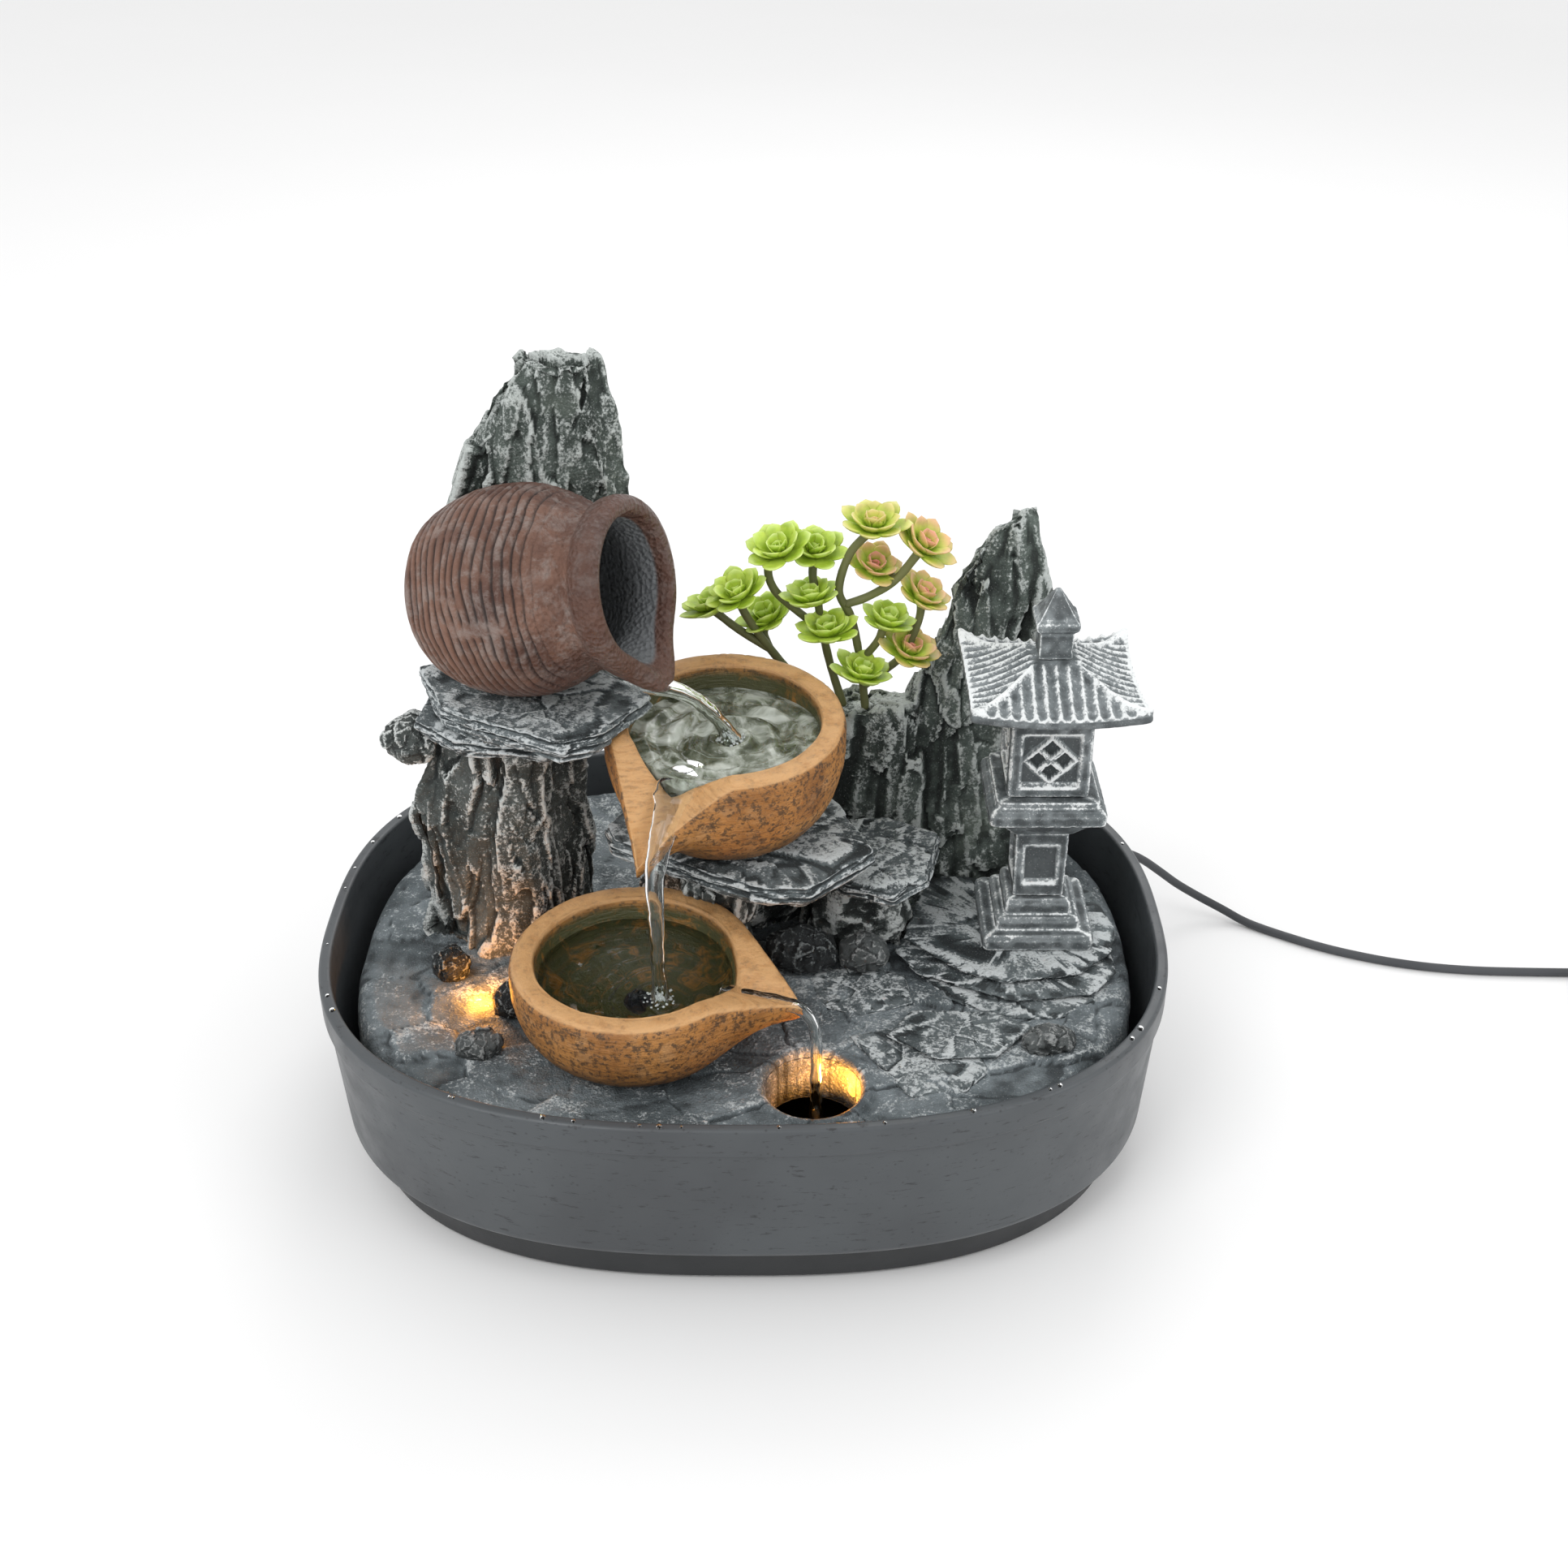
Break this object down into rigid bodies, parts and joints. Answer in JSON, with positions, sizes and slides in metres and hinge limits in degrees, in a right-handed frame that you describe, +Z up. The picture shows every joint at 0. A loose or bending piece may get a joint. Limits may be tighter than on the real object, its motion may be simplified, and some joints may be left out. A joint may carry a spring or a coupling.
{
  "type": "tabletop water fountain",
  "caption": "Tabletop fountain: a tipped jar pours into an upper and a lower bowl on a rockery with a stone lantern, in an oval basin that hides the pump.",
  "frame": {"origin": "on the table under the middle of the basin", "axes": "+Z up, front of the fountain towards -Y, lantern towards +X, jar towards -X"},
  "size_m": [0.4765, 0.207, 0.234],
  "materials": {
    "basin_plastic": "satin moulded plastic, dark grey with faint water marks",
    "black_rubber": "matt black rubber",
    "pump_plastic": "fine textured black plastic",
    "impeller_plastic": "smooth off-white plastic",
    "steel": "bright drawn steel",
    "cord_sheath": "smooth dark grey sheath",
    "plug_plastic": "moulded dark plastic",
    "rock": "cast rock, dark grey washed with pale dry-brushed edges",
    "slate": "cast slate, layered, pale chipped edges",
    "pebble": "wet-looking dark pebbles",
    "terracotta": "ridged red-brown earthenware with grey wash",
    "bowl_glaze": "orange-tan ware with black speckles and a pale rim",
    "lantern_stone": "pale grey stone, speckled, white dry-brushed edges",
    "leaf": "soft green moulded leaves, some tipped with pink",
    "stem": "olive moulded stems",
    "hose": "clear flexible tube",
    "led_lens": "warm light lens",
    "water": "clear moving water"
  },
  "bodies": {
    "basin": {"basin": "basin_plastic", "rubber_foot_1": "black_rubber", "rubber_foot_2": "black_rubber", "rubber_foot_3": "black_rubber", "rubber_foot_4": "black_rubber", "cable_grommet": "black_rubber", "pump_housing": "pump_plastic", "impeller_shaft": "steel", "suction_cup_1": "black_rubber", "suction_cup_2": "black_rubber", "pump_lead": "cord_sheath", "led_lead_left": "cord_sheath", "led_lead_right": "cord_sheath", "power_cord": "cord_sheath", "cord_coil": "cord_sheath", "plug_body": "plug_plastic", "plug_shell": "steel"},
    "impeller": {"impeller": "impeller_plastic"},
    "strainer": {"pump_strainer": "pump_plastic"},
    "flow_slider": {"flow_slider": "plug_plastic"},
    "rockery": {"rockery_base": "rock", "drain_collar": "rock", "led_left": "led_lens", "led_right": "led_lens", "jar": "terracotta", "upper_bowl": "bowl_glaze", "lower_bowl": "bowl_glaze", "lantern_base": "lantern_stone", "lantern_post": "lantern_stone", "lantern_tray": "lantern_stone", "lantern_house": "lantern_stone", "lantern_roof": "lantern_stone", "lantern_finial": "lantern_stone", "rock_tower": "rock", "under_slab": "slate", "jar_shelf": "slate", "shelf_boulder": "rock", "tower_spire": "rock", "right_spire": "rock", "bowl_slab": "slate", "step_slab": "slate", "centre_rock": "rock", "lower_bowl_rock": "rock", "slate_terrace": "slate", "slate_second": "slate", "slate_third": "slate", "slate_front": "slate", "slate_hollow": "slate", "slate_back": "slate", "dark_boulder": "pebble", "round_stone": "pebble", "cube_pebble": "pebble", "round_pebble": "pebble", "flat_pebble": "pebble", "wedge_stone": "pebble", "riser_hose": "hose", "plant_left": "leaf", "plant_middle": "leaf", "plant_right": "leaf"}
  },
  "joints": [
    {"name": "rockery_lift", "type": "slide", "parent": "basin", "child": "rockery", "axis": [0, 0, 1], "range_m": [0, 0.15], "deforming": ["led_lead_left", "led_lead_right"]},
    {"name": "impeller_spin", "type": "hinge", "parent": "basin", "child": "impeller", "pos_m": [-0.072, -0.005, 0.023], "axis": [0, 1, 0], "continuous": true},
    {"name": "strainer_pull", "type": "slide", "parent": "basin", "child": "strainer", "axis": [0, -1, 0], "range_m": [0, 0.015]},
    {"name": "flow_adjust", "type": "slide", "parent": "strainer", "child": "flow_slider", "axis": [1, 0, 0], "range_m": [0, 0.014]}
  ]
}
